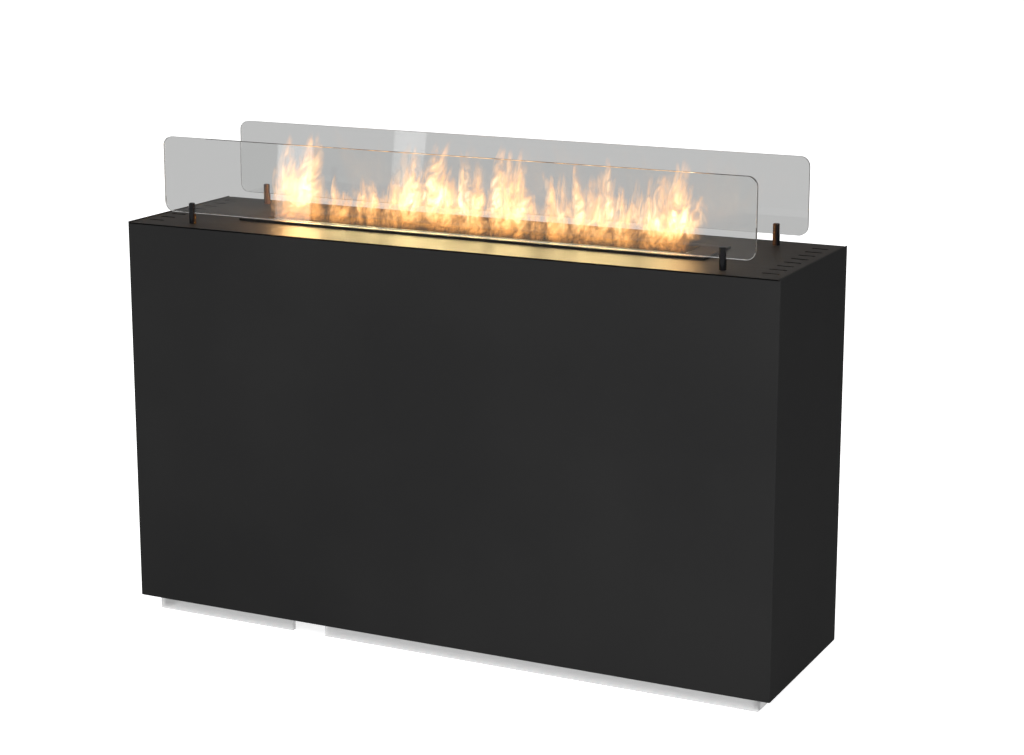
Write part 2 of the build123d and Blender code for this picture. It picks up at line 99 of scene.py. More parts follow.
# %% [markdown]
# ## Rays of different kinds
#
# Cycles follows rays of light backwards from the camera, and a material can ask what kind of
# ray has reached it. This scene uses that in three places: the white background, the glass,
# and the fire, which is far brighter than a screen can show. One helper makes a strength that
# differs by the kind of ray, as a chain of Mix nodes.

# %% A strength that depends on the ray
def by_ray(tree, otherwise, seen):
    """A strength of its own for each kind of ray in seen, and otherwise, a number or a socket."""
    path = tree.nodes.new("ShaderNodeLightPath")
    strength = otherwise
    for ray, value in seen.items():
        mix = tree.nodes.new("ShaderNodeMix")
        mix.data_type = "FLOAT"
        mix.inputs["B"].default_value = value
        tree.links.new(path.outputs[ray], mix.inputs["Factor"])
        if isinstance(strength, float):
            mix.inputs["A"].default_value = strength
        else:
            tree.links.new(strength, mix.inputs["A"])
        strength = mix.outputs["Result"]
    return strength

# %% [markdown]
# ## The studio
#
# The fireplace was photographed cut out on pure white. A white floor and a white sky give
# that: both are as bright as white paper to the camera, and lower for the light that falls on
# the object, so black paint stays black. The screens look grey in the photograph against the
# same white. Real glass that clear would hardly show, so the backdrop is a mid grey for the
# rays that come through glass. The floor keeps the soft shadow under the cabinet. Of the
# lamps, the narrow strip is there for its mirror image: it stands near the front left, and each
# pane shows it as one pale upright band. That both panes show it says where it must stand. It
# lights nothing else, so the paint near it stays even.

# %% Sky
sky_light = 0.42
behind_glass = 0.585
world = bpy.data.worlds.new("studio")
scene.world = world
world.use_nodes = True
sky = world.node_tree
sky_seen = {"Is Camera Ray": 1.0, "Is Transmission Ray": behind_glass}
sky.links.new(by_ray(sky, sky_light, sky_seen), sky.nodes["Background"].inputs["Strength"])
sky.nodes["Background"].inputs["Color"].default_value = (1.0, 1.0, 1.0, 1.0)
print("sky", sky_light, "seen through glass", behind_glass)

# %% Floor
floor_span = 60.0
floor_lift = 0.91
bpy.ops.object.select_all(action="DESELECT")
bpy.ops.mesh.primitive_plane_add(size=floor_span)
floor = bpy.context.object
floor.name = "studio_floor"
floor_paper = bpy.data.materials.new("floor_paper")
floor_paper.use_nodes = True
paper = floor_paper.node_tree
paper.nodes.clear()
paper_face = paper.nodes.new("ShaderNodeBsdfDiffuse")
paper_face.inputs["Color"].default_value = (0.8, 0.8, 0.8, 1.0)
paper_glow = paper.nodes.new("ShaderNodeEmission")
paper.links.new(by_ray(paper, 0.0, {"Is Camera Ray": floor_lift}), paper_glow.inputs["Strength"])
paper_lit = paper.nodes.new("ShaderNodeAddShader")
paper.links.new(paper_face.outputs[0], paper_lit.inputs[0])
paper.links.new(paper_glow.outputs[0], paper_lit.inputs[1])
paper_grey = paper.nodes.new("ShaderNodeEmission")
paper_grey.inputs["Strength"].default_value = behind_glass
paper_mix = paper.nodes.new("ShaderNodeMixShader")
paper.links.new(by_ray(paper, 0.0, {"Is Transmission Ray": 1.0}), paper_mix.inputs["Fac"])
paper.links.new(paper_lit.outputs[0], paper_mix.inputs[1])
paper.links.new(paper_grey.outputs[0], paper_mix.inputs[2])
paper_out = paper.nodes.new("ShaderNodeOutputMaterial")
paper.links.new(paper_mix.outputs[0], paper_out.inputs["Surface"])
floor.data.materials.append(floor_paper)
print("floor", floor_span, "m across")

# %% Lamps
def shine(name, kind, place, strength, spread, tall=None):
    """A lamp at place, turned to the middle of the object. spread is its softness or its width."""
    lamp_data = bpy.data.lights.new(name, kind)
    lamp_data.energy = strength
    if kind == "SUN":
        lamp_data.angle = spread
    else:
        lamp_data.shape = "RECTANGLE"
        lamp_data.size = spread
        lamp_data.size_y = tall or spread
    lamp = bpy.data.objects.new(name, lamp_data)
    lamp.location = place
    aim = Vector((0.0, 0.0, 0.35)) - Vector(place)
    lamp.rotation_euler = aim.to_track_quat("-Z", "Y").to_euler()
    scene.collection.objects.link(lamp)
    return lamp


shine("front_wash", "SUN", (-0.3, -4.0, 3.0), 0.50, math.radians(70.0))
shine("left_softbox", "AREA", (-3.0, 0.6, 1.6), 22.0, 1.2)
shine("right_softbox", "AREA", (1.3, -2.6, 2.4), 90.0, 1.0)
strip = shine("strip_softbox", "AREA", (-0.615, -0.70, 0.70), 0.68, 0.066, tall=1.5)
strip.visible_diffuse = False
print("four lamps")

# %% [markdown]
# ## Tools for finishes
#
# Each finish is one Principled shader whose colour, roughness and bump are varied by noise.
# Real surfaces are never quite even: powder coat has a fine orange-peel skin, brushed steel has
# long scratches one way, zinc has crystals. The patterns are read at the object's own
# coordinates, in metres, so that a scale of 700 makes grains of about 1.4 mm.

# %% Helpers for finishes
def new_finish(name, colour, roughness, metallic=0.0, gloss=0.5):
    """A material with one Principled shader, and its node tree and shader."""
    material = bpy.data.materials.new(name)
    material.use_nodes = True
    shader = material.node_tree.nodes["Principled BSDF"]
    shader.inputs["Base Color"].default_value = (*colour, 1.0)
    shader.inputs["Roughness"].default_value = roughness
    shader.inputs["Metallic"].default_value = metallic
    shader.inputs["Specular IOR Level"].default_value = gloss
    return material, material.node_tree, shader


def object_places(tree, stretch):
    """The object's own coordinates, times stretch along each axis."""
    place = tree.nodes.new("ShaderNodeTexCoord")
    mapping = tree.nodes.new("ShaderNodeMapping")
    mapping.inputs["Scale"].default_value = stretch
    tree.links.new(place.outputs["Object"], mapping.inputs["Vector"])
    return mapping.outputs["Vector"]


def noise(tree, stretch, detail=2.0, distortion=0.0):
    """Noise from 0 to 1, with stretch grains to a metre along each axis."""
    made = tree.nodes.new("ShaderNodeTexNoise")
    made.inputs["Scale"].default_value = 1.0
    made.inputs["Detail"].default_value = detail
    made.inputs["Distortion"].default_value = distortion
    tree.links.new(object_places(tree, stretch), made.inputs["Vector"])
    return made.outputs[0]


def spread_over(tree, value, start, end, low, high, smooth=False):
    """value from start to end becomes low to high, and is held there beyond."""
    made = tree.nodes.new("ShaderNodeMapRange")
    made.interpolation_type = "SMOOTHSTEP" if smooth else "LINEAR"
    ends = {"From Min": start, "From Max": end, "To Min": low, "To Max": high}
    for socket, number in ends.items():
        made.inputs[socket].default_value = number
    tree.links.new(value, made.inputs["Value"])
    return made.outputs["Result"]


def colours(tree, value, stops):
    """A colour ramp: stops holds (place, colour) pairs."""
    ramp = tree.nodes.new("ShaderNodeValToRGB")
    while len(ramp.color_ramp.elements) < len(stops):
        ramp.color_ramp.elements.new(1.0)
    for element, (place, colour) in zip(ramp.color_ramp.elements, stops):
        element.position = place
        element.color = (*colour, 1.0)
    tree.links.new(value, ramp.inputs["Fac"])
    return ramp.outputs["Color"]


def calculate(tree, operation, *values):
    """One Math node. A value is a socket or a number."""
    made = tree.nodes.new("ShaderNodeMath")
    made.operation = operation
    for socket, value in zip(made.inputs, values):
        if isinstance(value, (int, float)):
            socket.default_value = value
        else:
            tree.links.new(value, socket)
    return made.outputs[0]


def bump(tree, shader, height, strength, depth):
    """Lets height, from 0 to 1, dent the surface by depth."""
    made = tree.nodes.new("ShaderNodeBump")
    made.inputs["Strength"].default_value = strength
    made.inputs["Distance"].default_value = depth
    tree.links.new(height, made.inputs["Height"])
    tree.links.new(made.outputs["Normal"], shader.inputs["Normal"])


finishes = {}
print("helpers ready")

# %% [markdown]
# ## Black powder coat
#
# The casing is folded steel and the rear panel a flat sheet, both with a matt black powder
# coat. Paint of this kind could be one flat black, but then a large panel looks like a hole in
# the picture. The coat has a fine orange-peel skin, which is bump, and broad faint clouds where
# it is thicker or has been wiped, which are roughness and a little colour.

# %% Black powder coat
material, tree, shader = new_finish("black_powder_coat", (0.020, 0.020, 0.020), 0.45, gloss=0.004)
clouds = noise(tree, (3.0, 3.0, 3.0), detail=3.0)
stops = [(0.35, (0.0186, 0.0186, 0.0188)), (0.65, (0.0214, 0.0214, 0.0214))]
tree.links.new(colours(tree, clouds, stops), shader.inputs["Base Color"])
tree.links.new(spread_over(tree, clouds, 0.3, 0.7, 0.40, 0.52), shader.inputs["Roughness"])
bump(tree, shader, noise(tree, (700.0, 700.0, 700.0)), 0.25, 0.0002)
finishes["black_paint"] = material
print("finish", material.name)

# %% [markdown]
# ## The satin top
#
# The top plate is darker at its ends and mirrors the fire as one long golden bar, so it is a
# satin sheet with a grain along its length. The grain is noise stretched a hundred times along
# X. It drives the roughness and a very shallow bump, and the mirror image of the fire breaks
# up into fine lines as it does on brushed steel. Where a laser has cut the vents, the edge is
# burnt black, so faces that stand upright are darker.

# %% Satin top
material, tree, shader = new_finish("satin_top_sheet", (0.016, 0.0135, 0.012), 0.5, gloss=0.036)
grain = noise(tree, (9.0, 1100.0, 1100.0), detail=3.0)
stops = [(0.3, (0.014, 0.0121, 0.011)), (0.7, (0.0228, 0.020, 0.0181))]
facing = tree.nodes.new("ShaderNodeNewGeometry")
parts = tree.nodes.new("ShaderNodeSeparateXYZ")
tree.links.new(facing.outputs["Normal"], parts.inputs[0])
cut_edge = calculate(tree, "LESS_THAN", calculate(tree, "ABSOLUTE", parts.outputs["Z"]), 0.5)
burnt = tree.nodes.new("ShaderNodeMix")
burnt.data_type = "RGBA"
burnt.inputs["B"].default_value = (0.002, 0.002, 0.002, 1.0)
tree.links.new(cut_edge, burnt.inputs["Factor"])
tree.links.new(colours(tree, grain, stops), burnt.inputs["A"])
tree.links.new(burnt.outputs["Result"], shader.inputs["Base Color"])
satin = spread_over(tree, grain, 0.3, 0.7, 0.44, 0.56)
tree.links.new(calculate(tree, "MAXIMUM", satin, cut_edge), shader.inputs["Roughness"])
bump(tree, shader, grain, 0.15, 0.0001)
finishes["satin_top"] = material
print("finish", material.name)

# %% [markdown]
# ## The burner's rim
#
# The rim is folded from the same dark sheet, but it sits beside the fire. Heat leaves a
# brownish bloom on it, strongest at the mouth, so the colour follows the distance from the
# middle line and the roughness rises there.

# %% Burner rim
material, tree, shader = new_finish("heat_bloomed_black", (0.014, 0.013, 0.012), 0.34, gloss=0.014)
sides = tree.nodes.new("ShaderNodeSeparateXYZ")
tree.links.new(object_places(tree, (1.0, 1.0, 1.0)), sides.inputs[0])
aside = calculate(tree, "ABSOLUTE", sides.outputs["Y"])
bloom = spread_over(tree, aside, 0.028, 0.056, 1.0, 0.0)
grain = noise(tree, (12.0, 600.0, 600.0), detail=3.0)
bloom = calculate(tree, "MULTIPLY", bloom, calculate(tree, "ADD", grain, 0.4))
stops = [(0.0, (0.012, 0.0115, 0.011)), (0.6, (0.014, 0.011, 0.008)), (1.0, (0.017, 0.011, 0.006))]
tree.links.new(colours(tree, bloom, stops), shader.inputs["Base Color"])
tree.links.new(spread_over(tree, bloom, 0.0, 1.0, 0.26, 0.48), shader.inputs["Roughness"])
bump(tree, shader, grain, 0.12, 0.0001)
finishes["burner_black"] = material
print("finish", material.name)

# %% [markdown]
# ## Blackened posts
#
# The four glass holders are turned from bar and chemically blackened. Turning leaves fine
# rings round the bar, so the bump is a wave that runs up the post, and the gloss is higher than
# the paint's: each post shows one narrow upright highlight. The side that faces the fire is
# painted bronze orange: painted firelight, the glow the fire throws on that side. The fire is
# nearer the middle than any post, both along and across, so a face looks at the fire where its
# normal points against its own place.

# %% Blackened posts
material, tree, shader = new_finish("blackened_bar", (0.007, 0.007, 0.008), 0.12, gloss=0.2)
rings = tree.nodes.new("ShaderNodeTexWave")
rings.wave_type = "BANDS"
rings.bands_direction = "Z"
rings.inputs["Scale"].default_value = 1.0
rings.inputs["Distortion"].default_value = 0.3
tree.links.new(object_places(tree, (900.0, 900.0, 900.0)), rings.inputs["Vector"])
facing = tree.nodes.new("ShaderNodeNewGeometry")
normal = tree.nodes.new("ShaderNodeSeparateXYZ")
tree.links.new(facing.outputs["Normal"], normal.inputs[0])
place = tree.nodes.new("ShaderNodeSeparateXYZ")
tree.links.new(object_places(tree, (1.0, 1.0, 1.0)), place.inputs[0])
outward = []
for axis, share in (("X", 0.8), ("Y", 0.6)):
    own_side = calculate(tree, "SIGN", place.outputs[axis])
    turned_out = calculate(tree, "MULTIPLY", normal.outputs[axis], own_side)
    outward.append(calculate(tree, "MULTIPLY", turned_out, share))
away = calculate(tree, "ADD", *outward)
# painted firelight: faces turned towards the fire get a bronze orange, the glow the fire casts on
# them
painted_firelight = spread_over(tree, away, 0.0, -0.8, 0.0, 1.0, smooth=True)
patches = noise(tree, (90.0, 90.0, 40.0), detail=3.0)
painted_firelight = calculate(tree, "MULTIPLY", painted_firelight, spread_over(tree, patches, 0.3, 0.7, 0.75, 1.0))
# from black to the painted bronze orange of the firelight
stops = [(0.0, (0.005, 0.0052, 0.006)), (0.5, (0.020, 0.011, 0.007)), (1.0, (0.050, 0.024, 0.012))]
tree.links.new(colours(tree, painted_firelight, stops), shader.inputs["Base Color"])
tree.links.new(spread_over(tree, patches, 0.3, 0.7, 0.08, 0.15), shader.inputs["Roughness"])
bump(tree, shader, rings.outputs[0], 0.04, 0.0001)
finishes["black_posts"] = material
print("finish", material.name)

# %% [markdown]
# ## Toughened glass
#
# The screens are 5 mm panes of toughened glass. The faces bend and reflect light as glass
# does, with a light grey in the body of it. The edges are ground and only half polished, so
# where the surface doesn't face front or back it is rougher, paler and less clear: that draws
# the thin bright line round each pane. Rays that carry lamp light go straight through, or the
# panes would throw black shadows.

# %% Toughened glass
glass_tint = (0.88, 0.885, 0.88)
material, tree, shader = new_finish("toughened_glass", glass_tint, 0.0)
shader.inputs["IOR"].default_value = 1.5
facing = tree.nodes.new("ShaderNodeNewGeometry")
parts = tree.nodes.new("ShaderNodeSeparateXYZ")
tree.links.new(facing.outputs["Normal"], parts.inputs[0])
edge = calculate(tree, "LESS_THAN", calculate(tree, "ABSOLUTE", parts.outputs["Y"]), 0.7)
frost = noise(tree, (900.0, 900.0, 900.0))
stops = [(0.0, glass_tint), (1.0, (0.17, 0.17, 0.165))]
tree.links.new(colours(tree, edge, stops), shader.inputs["Base Color"])
tree.links.new(spread_over(tree, edge, 0.0, 1.0, 1.0, 0.55), shader.inputs["Transmission Weight"])
ground = calculate(tree, "MULTIPLY", edge, frost)
tree.links.new(spread_over(tree, ground, 0.0, 1.0, 0.0, 0.6), shader.inputs["Roughness"])
passing = tree.nodes.new("ShaderNodeBsdfTransparent")
passing.inputs["Color"].default_value = (*glass_tint, 1.0)
choice = tree.nodes.new("ShaderNodeMixShader")
tree.links.new(by_ray(tree, 0.0, {"Is Shadow Ray": 1.0}), choice.inputs["Fac"])
tree.links.new(shader.outputs[0], choice.inputs[1])
tree.links.new(passing.outputs[0], choice.inputs[2])
tree.links.new(choice.outputs[0], tree.nodes["Material Output"].inputs["Surface"])
finishes["screen_glass"] = material
print("finish", material.name)

# %% [markdown]
# ## The plinth's two glasses
#
# The plinth is built from strips of glass. Most of it is frosted and reads as an even light
# grey: the white floor behind it shows through as a veil. One short section near the left end
# is nearly clear. Glass that bends light could be used, but the strips are seen along their
# length too, and light that bounces inside a strip a quarter of a metre long goes dark. So both
# are thin veils, which cover a share of what is behind them. The frosted one has the fine tooth
# of sandblasted glass.

# %% Frosted plinth
material, tree, shader = new_finish("frosted_plinth_glass", (0.70, 0.70, 0.70), 0.5)
tooth = noise(tree, (1500.0, 1500.0, 1500.0), detail=3.0)
stops = [(0.3, (0.66, 0.66, 0.665)), (0.7, (0.74, 0.74, 0.74))]
tree.links.new(colours(tree, tooth, stops), shader.inputs["Base Color"])
tree.links.new(spread_over(tree, tooth, 0.3, 0.7, 0.40, 0.50), shader.inputs["Alpha"])
tree.links.new(spread_over(tree, tooth, 0.3, 0.7, 0.40, 0.60), shader.inputs["Roughness"])
bump(tree, shader, tooth, 0.1, 0.0001)
finishes["frosted_plinth"] = material
print("finish", material.name)

# %% Clear plinth section
material, tree, shader = new_finish("clear_plinth_glass", (0.95, 0.955, 0.97), 0.1)
shader.inputs["Alpha"].default_value = 0.08
depths = noise(tree, (40.0, 40.0, 90.0), detail=2.0)
stops = [(0.3, (0.93, 0.94, 0.96)), (0.7, (0.97, 0.975, 0.985))]
tree.links.new(colours(tree, depths, stops), shader.inputs["Base Color"])
tree.links.new(spread_over(tree, depths, 0.3, 0.7, 0.06, 0.16), shader.inputs["Roughness"])
finishes["clear_plinth"] = material
print("finish", material.name)

# %% [markdown]
# ## Ceramic fleece
#
# Inside the tub the fuel is held by blocks of ceramic fibre. It is white wool pressed flat:
# no shine at all, a tangle of fibres for bump, and a tan scorch near its top where the flame
# stands on the deck above it.

# %% Ceramic fleece
material, tree, shader = new_finish("ceramic_fibre", (0.82, 0.80, 0.76), 1.0, gloss=0.1)
fibres = noise(tree, (260.0, 900.0, 500.0), detail=6.0, distortion=3.0)
fleece_low, fleece_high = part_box("fleece_middle")
heights = tree.nodes.new("ShaderNodeSeparateXYZ")
tree.links.new(object_places(tree, (1.0, 1.0, 1.0)), heights.inputs[0])
scorch = spread_over(tree, heights.outputs["Z"], fleece_high.z - 0.012, fleece_high.z, 0.0, 0.7)
scorch = calculate(tree, "MULTIPLY", scorch, calculate(tree, "ADD", fibres, 0.3))
stops = [(0.0, (0.84, 0.82, 0.78)), (0.4, (0.66, 0.57, 0.45)), (0.8, (0.30, 0.22, 0.15))]
tree.links.new(colours(tree, scorch, stops), shader.inputs["Base Color"])
bump(tree, shader, fibres, 0.9, 0.0012)
finishes["ceramic_fleece"] = material
print("finish", material.name)

# %% [markdown]
# ## Stainless steel with heat tint
#
# The tub, the deck, the regulator and its guides are brushed stainless steel. Steel that stands
# in a flame takes the colours of a thin oxide film: straw, then bronze, then blue. The film is
# strongest at the level of the deck, so the tint follows the height, and noise breaks its
# edge.

# %% Stainless steel
material, tree, shader = new_finish("brushed_stainless", (0.60, 0.59, 0.57), 0.3, metallic=1.0)
grain = noise(tree, (14.0, 900.0, 900.0), detail=3.0)
blots = noise(tree, (45.0, 70.0, 45.0), detail=4.0)
heights = tree.nodes.new("ShaderNodeSeparateXYZ")
tree.links.new(object_places(tree, (1.0, 1.0, 1.0)), heights.inputs[0])
deck_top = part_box("slotted_deck")[1].z
near_fire = spread_over(tree, heights.outputs["Z"], deck_top - 0.02, deck_top + 0.004, 0.0, 0.8)
film = calculate(tree, "MULTIPLY", near_fire, calculate(tree, "ADD", blots, 0.45))
stops = [
    (0.0, (0.60, 0.59, 0.57)),
    (0.35, (0.66, 0.53, 0.33)),
    (0.6, (0.45, 0.27, 0.16)),
    (0.85, (0.20, 0.19, 0.30)),
]
tree.links.new(colours(tree, film, stops), shader.inputs["Base Color"])
tree.links.new(spread_over(tree, grain, 0.3, 0.7, 0.24, 0.40), shader.inputs["Roughness"])
bump(tree, shader, grain, 0.2, 0.0001)
finishes["stainless_steel"] = material
print("finish", material.name)

# %% [markdown]
# ## Pads, screws and galvanised sheet
#
# The pads in the post slots are dark graphite felt. Screws and nuts have bright zinc with a
# faint yellow-blue passivation. Everything hidden is galvanised sheet, whose zinc freezes into
# crystals: a Voronoi pattern gives each crystal its own grey and its own gloss.

# %% Heat pads
material, tree, shader = new_finish("graphite_felt", (0.05, 0.05, 0.052), 0.95, gloss=0.2)
fibres = noise(tree, (1800.0, 1800.0, 900.0), detail=5.0, distortion=2.0)
stops = [(0.3, (0.03, 0.03, 0.032)), (0.7, (0.085, 0.085, 0.088))]
tree.links.new(colours(tree, fibres, stops), shader.inputs["Base Color"])
bump(tree, shader, fibres, 0.8, 0.0003)
finishes["heat_pads"] = material
print("finish", material.name)

# %% Zinc screws
material, tree, shader = new_finish("zinc_plate", (0.64, 0.65, 0.66), 0.3, metallic=1.0)
sheen = noise(tree, (220.0, 220.0, 220.0), detail=3.0)
stops = [(0.3, (0.58, 0.60, 0.64)), (0.55, (0.66, 0.66, 0.65)), (0.75, (0.70, 0.66, 0.55))]
tree.links.new(colours(tree, sheen, stops), shader.inputs["Base Color"])
tree.links.new(spread_over(tree, sheen, 0.3, 0.7, 0.22, 0.4), shader.inputs["Roughness"])
bump(tree, shader, noise(tree, (2500.0, 2500.0, 2500.0)), 0.1, 0.0001)
finishes["zinc_screws"] = material
print("finish", material.name)

# %% Galvanised sheet
material, tree, shader = new_finish("galvanised_sheet", (0.60, 0.61, 0.62), 0.4, metallic=1.0)
crystals = tree.nodes.new("ShaderNodeTexVoronoi")
crystals.inputs["Scale"].default_value = 1.0
tree.links.new(object_places(tree, (95.0, 95.0, 95.0)), crystals.inputs["Vector"])
crystal = tree.nodes.new("ShaderNodeSeparateColor")
tree.links.new(crystals.outputs["Color"], crystal.inputs[0])
stops = [(0.0, (0.48, 0.49, 0.50)), (1.0, (0.68, 0.69, 0.70))]
tree.links.new(colours(tree, crystal.outputs[0], stops), shader.inputs["Base Color"])
crystal_gloss = spread_over(tree, crystal.outputs[1], 0.0, 1.0, 0.32, 0.5)
tree.links.new(crystal_gloss, shader.inputs["Roughness"])
bump(tree, shader, crystals.outputs["Distance"], 0.1, 0.0002)
finishes["galvanised_sheet"] = material
print("finish", material.name)

# %% [markdown]
# ## Each node gets its finish
#
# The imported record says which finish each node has. A node's object keeps its place and its
# mesh, and only its material changes.

# %% Finishes onto the nodes
for piece in frame["record"]["subparts"]:
    for place in nodes[piece["node"]].material_slots:
        place.material = finishes[piece["material_slot"]]

# %% [markdown]
# ## Screws with a hexagonal socket
#
# Six screws hold the rear panel. In the CAD model each is a plain head on a plain shank. A real
# head is domed and has a socket for its key. The dome could be a cut sphere, but a cylinder with
# a rounded top edge is nearer to a pressed head. The socket starts as an inset ring of 24 points,
# which are drawn in or out to the six sides of a hexagon, and is then pushed down. The screw is
# modelled once, standing on the origin, then laid over so that its head faces the back. Copies go
# where the CAD node has its screws.

# %% One screw
head_radius, head_height = 0.004, 0.0022
socket_radius, socket_depth = 0.0022, 0.0013
dome_edge, socket_rim = 0.0012, 0.0002
shank_step, shank_length, shank_chamfer = 0.002, 0.008, 0.0005
bpy.ops.object.select_all(action="DESELECT")
bpy.ops.mesh.primitive_cylinder_add(
    vertices=24, radius=head_radius, depth=head_height, location=(0.0, 0.0, head_height / 2)
)
screw = bpy.context.object
bpy.ops.object.transform_apply(location=True, rotation=True, scale=True)
bpy.ops.object.mode_set(mode="EDIT")
bpy.ops.mesh.select_mode(type="FACE")
mesh = bmesh.from_edit_mesh(screw.data)


def pick_end(height):
    """Selects the one flat end face at height, and nothing else."""
    for face in mesh.faces:
        face.select = abs(face.normal.z) > 0.99 and abs(face.calc_center_median().z - height) < 1e-6
    mesh.select_flush_mode()


pick_end(head_height)
bpy.ops.mesh.bevel(offset=dome_edge, segments=4, affect="EDGES")
pick_end(head_height)
bpy.ops.mesh.inset(thickness=socket_rim)
for point in {corner for face in mesh.faces if face.select for corner in face.verts}:
    side = math.radians(math.degrees(math.atan2(point.co.y, point.co.x)) % 60.0 - 30.0)
    shrink = socket_radius * math.cos(math.radians(30.0)) / math.cos(side) / point.co.xy.length
    point.co.x *= shrink
    point.co.y *= shrink
bpy.ops.mesh.extrude_region_move(TRANSFORM_OT_translate={"value": (0.0, 0.0, -socket_depth)})
pick_end(0.0)
bpy.ops.mesh.inset(thickness=shank_step)
bpy.ops.mesh.extrude_region_move(TRANSFORM_OT_translate={"value": (0.0, 0.0, -shank_length)})
bpy.ops.mesh.bevel(offset=shank_chamfer, segments=2, affect="EDGES")
bpy.ops.mesh.select_all(action="SELECT")
bpy.ops.transform.rotate(value=math.pi / 2, orient_axis="X", center_override=(0.0, 0.0, 0.0))
bpy.ops.mesh.normals_make_consistent(inside=False)
bpy.ops.object.mode_set(mode="OBJECT")
bpy.ops.object.shade_smooth_by_angle(angle=math.radians(35.0))
print("one screw of", len(screw.data.polygons), "faces")

# %% Six screws in the rear panel
clusters = []
for corner in [point.co.copy() for point in nodes["rear_panel_screws"].data.vertices]:
    near = [group for group in clusters if (group[0].xz - corner.xz).length < 2.5 * head_radius]
    if near:
        near[0].append(corner)
    else:
        clusters.append([corner])
set_screws = []
for group in clusters:
    copy = screw.copy()
    copy.data = screw.data.copy()
    scene.collection.objects.link(copy)
    middle = [(min(p[i] for p in group) + max(p[i] for p in group)) / 2 for i in (0, 2)]
    shift = Vector((middle[0], max(p.y for p in group) - head_height, middle[1]))
    for point in copy.data.vertices:
        point.co += shift
    set_screws.append(copy)
bpy.data.objects.remove(screw)
bpy.ops.object.select_all(action="DESELECT")
for copy in set_screws:
    copy.select_set(True)
bpy.context.view_layer.objects.active = set_screws[0]
bpy.ops.object.join()
socket_screws = bpy.context.object
socket_screws.name = "socket_screws"
socket_screws.data.materials.append(finishes["zinc_screws"])
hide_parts("rear_panel_screws")
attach(socket_screws, "cabinet")
print(len(clusters), "screws,", len(socket_screws.data.polygons), "faces")

# %% [markdown]
# ## The fire
#
# A flame is hot gas that glows, and it has no surface. A cloud of glowing volume would be the
# nearest thing, but it is slow, and it can't be kept as a mesh. Painted cards need a picture.
# The fire here is built from thin leaf-shaped blades, one for each tongue, with a see-through
# shader that is dense and pale in the middle and thin and orange at the edges. A blade is bowed
# across and twisted as it rises, so some part of it faces every side, and where many blades
# overlap the fire becomes nearly white, as it does in the photograph.

# %% One blade, shaped row by row
blade_columns, blade_rows = 4, 12


def shape_blade(name, outline, sway, bow):
    """A blade 1 m wide and 1 m tall: outline gives its width and sway its drift at each height."""
    bpy.ops.object.select_all(action="DESELECT")
    bpy.ops.mesh.primitive_grid_add(
        x_subdivisions=blade_columns,
        y_subdivisions=blade_rows,
        size=1.0,
        location=(0.0, 0.0, 0.5),
        rotation=(math.pi / 2, 0.0, 0.0),
    )
    blade = bpy.context.object
    blade.name = name
    bpy.ops.object.transform_apply(location=True, rotation=True, scale=True)
    bpy.ops.object.mode_set(mode="EDIT")
    bpy.ops.mesh.select_mode(type="VERT")
    mesh = bmesh.from_edit_mesh(blade.data)

    def pick(axis, place):
        """Selects the row or column of points at place on axis, and no others."""
        for point in mesh.verts:
            point.select = abs(point.co[axis] - place) < 1e-4
        mesh.select_flush_mode()

    for column in range(blade_columns + 1):
        across = column / blade_columns - 0.5
        pick(0, across)
        bpy.ops.transform.translate(value=(0.0, bow * 4 * across * across, 0.0))
    for row in range(blade_rows + 1):
        height = row / blade_rows
        pick(2, height)
        width = outline(height)
        bpy.ops.transform.resize(value=(width, width, 1.0), center_override=(0.0, 0.0, height))
        bpy.ops.transform.translate(value=(sway(height), 0.5 * sway(0.8 * height), 0.0))
    bpy.ops.object.mode_set(mode="OBJECT")
    return blade


def leaf(belly, point):
    """An outline: narrow foot, widest at belly, and a tip that point makes blunt or fine."""
    def outline(height):
        if height < belly:
            return 0.42 + 0.58 * math.sin(height / belly * math.pi / 2)
        return max(0.015, math.cos((height - belly) / (1 - belly) * math.pi / 2) ** point)
    return outline


def lick(reach, waves):
    """A sway: none at the foot, growing towards the tip."""
    return lambda height: reach * height ** 1.5 * math.sin(waves * math.pi * height)


blades = [
    shape_blade("blade_slender", leaf(0.28, 0.65), lick(0.10, 1.6), 0.25),
    shape_blade("blade_curled", leaf(0.34, 0.60), lick(0.22, 0.9), 0.35),
    shape_blade("blade_wavy", leaf(0.30, 0.75), lick(0.16, 2.3), 0.30),
    shape_blade("blade_broad", leaf(0.42, 0.60), lick(0.08, 1.2), 0.40),
]
print(len(blades), "blades of", len(blades[0].data.polygons), "faces")

# %% [markdown]
# ## The glow of a blade
#
# Across the blade the flame is dense in the middle and gone at the edge. Going up, it thins a
# little and cools. Streaks that run upwards are noise stretched along Z. Together they say how
# dense the flame is. A real flame adds its light to whatever is behind it, so each blade covers
# little and glows at three times the brightness of paper: thin places turn pinkish over the grey
# glass and brown over the dark plate, and a few blades together turn cream. The first millimetres
# over the burner hardly glow, as with burning alcohol, and above them the bed is mottled brown. To
# the rays that carry light onto the object the fire is twenty times stronger, because it is the
# fire that gilds the top plate.

# %% Flame finishes
plate_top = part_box("top_plate")[1].z
foot_level = deck_top + 0.004
flame_seen = 3.2
flame_mirrored = 0.4
flame_light = 64.0
bed_height = 0.050


